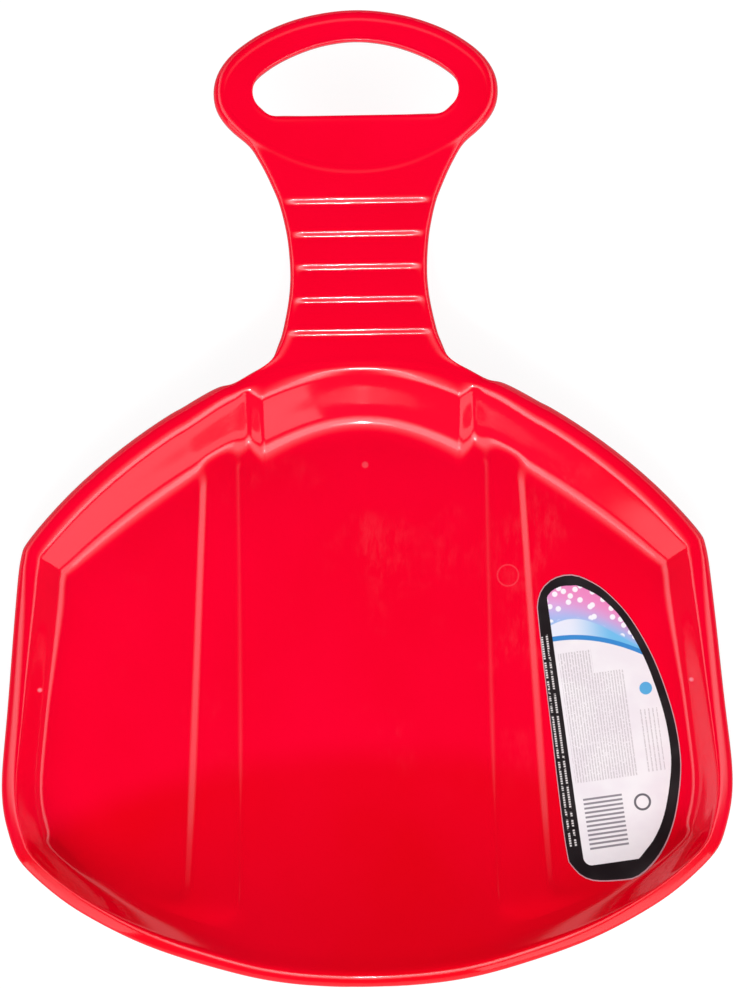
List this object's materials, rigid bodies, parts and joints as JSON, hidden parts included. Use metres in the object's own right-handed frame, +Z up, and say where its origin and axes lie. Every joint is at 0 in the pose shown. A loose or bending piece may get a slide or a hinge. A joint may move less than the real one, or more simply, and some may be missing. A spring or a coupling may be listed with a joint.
{
  "type": "snow slider sled",
  "caption": "Shallow moulded seat pan with turned-down rim, raised floor bands, a stepped neck and an oval grip with a hand hole, and a printed floor label.",
  "frame": {"origin": "centre of the sled's length and width, on the plane that the floor's underside rests on", "axes": "+Y from the pan to the grip, +X to the rider's right, +Z up"},
  "size_m": [0.427, 0.562, 0.0671],
  "materials": {
    "red_plastic": "glossy moulded polyethylene, lightly scuffed",
    "printed_label": "satin film print"
  },
  "bodies": {
    "root": {"sled_shell": "red_plastic", "label": "printed_label"}
  },
  "joints": []
}
